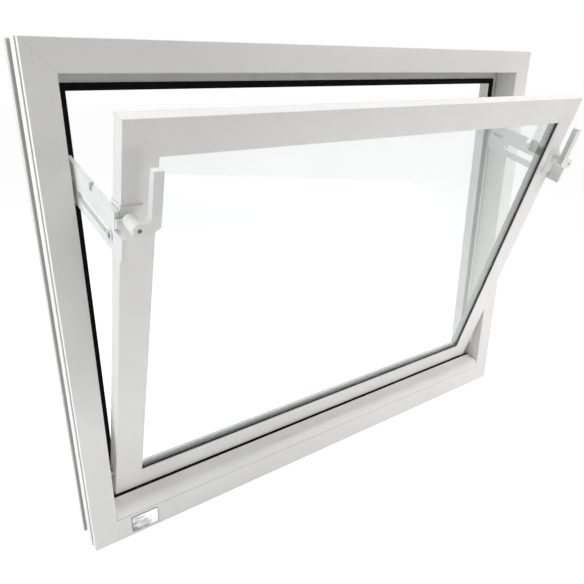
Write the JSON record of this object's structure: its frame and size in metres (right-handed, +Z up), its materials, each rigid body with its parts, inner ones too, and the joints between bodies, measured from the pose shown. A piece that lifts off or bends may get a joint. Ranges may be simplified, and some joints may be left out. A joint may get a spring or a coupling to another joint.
{
  "type": "hopper window",
  "caption": "Small white hopper window with a single pane, its sash tilted into the room on two slotted side stays.",
  "frame": {"origin": "middle of the flat land under the sill, halfway along the window's width", "axes": "+X along the sill to the right as seen from the room, +Y outdoors, +Z up"},
  "size_m": [0.8, 0.1958, 0.6],
  "materials": {
    "white_profile": "satin white extruded plastic",
    "white_fitting": "satin white moulded plastic",
    "black_rubber": "matt black rubber",
    "clear_glass": "clear float glass",
    "bare_metal": "thin bare sheet metal",
    "zinc_steel": "zinc-plated steel",
    "grey_bush": "matt grey plastic"
  },
  "bodies": {
    "frame": {"frame_sill": "white_profile", "frame_head": "white_profile", "frame_jamb_left": "white_profile", "frame_jamb_right": "white_profile", "frame_gasket_sill": "black_rubber", "frame_gasket_head": "black_rubber", "frame_gasket_jamb_left": "black_rubber", "frame_gasket_jamb_right": "black_rubber", "sill_strip": "white_profile", "sill_strip_seal": "black_rubber", "label_plate": "bare_metal", "hinge_bearing_left": "white_fitting", "hinge_bearing_right": "white_fitting", "stay_bearing_left": "white_fitting", "stay_bearing_right": "white_fitting"},
    "sash": {"sash_bottom_rail": "white_profile", "sash_top_rail": "white_profile", "sash_stile_left": "white_profile", "sash_stile_right": "white_profile", "glass_pane": "clear_glass", "glazing_gasket_bottom": "black_rubber", "glazing_gasket_top": "black_rubber", "glazing_gasket_left": "black_rubber", "glazing_gasket_right": "black_rubber", "glazing_bead_bottom": "white_profile", "glazing_bead_top": "white_profile", "glazing_bead_left": "white_profile", "glazing_bead_right": "white_profile", "sash_bracket_left": "white_fitting", "sash_bracket_right": "white_fitting", "hinge_pin_left": "zinc_steel", "hinge_pin_right": "zinc_steel"},
    "stay_left": {"stay_arm_left": "white_fitting", "stay_bush_left": "grey_bush"},
    "stay_right": {"stay_arm_right": "white_fitting", "stay_bush_right": "grey_bush"},
    "lever_left": {"lever_left": "white_fitting", "lever_screw_left": "zinc_steel"},
    "lever_right": {"lever_right": "white_fitting", "lever_screw_right": "zinc_steel"}
  },
  "joints": [
    {"name": "sash_tilt", "type": "hinge", "parent": "frame", "child": "sash", "pos_m": [0, 0.008, 0.087], "axis": [-1, 0, 0], "range_deg": [0, 17.35]},
    {"name": "stay_left_turn", "type": "hinge", "parent": "frame", "child": "stay_left", "pos_m": [-0.3618, 0.0023, 0.4607], "axis": [1, 0, 0], "range_deg": [0, 72.7]},
    {"name": "stay_right_turn", "type": "hinge", "parent": "frame", "child": "stay_right", "pos_m": [0.3618, 0.0023, 0.4607], "axis": [1, 0, 0], "range_deg": [0, 72.7]},
    {"name": "lever_left_turn", "type": "hinge", "parent": "sash", "child": "lever_left", "pos_m": [-0.351, -0.11661, 0.44562], "axis": [0, 0.9545, 0.2982], "range_deg": [0, 90]},
    {"name": "lever_right_turn", "type": "hinge", "parent": "sash", "child": "lever_right", "pos_m": [0.351, -0.11661, 0.44562], "axis": [0, -0.9545, -0.2982], "range_deg": [0, 90]}
  ],
  "couplings": [
    {"joint": "stay_left_turn", "follows": "sash_tilt", "ratio": 4.1873},
    {"joint": "stay_right_turn", "follows": "sash_tilt", "ratio": 4.1873}
  ]
}
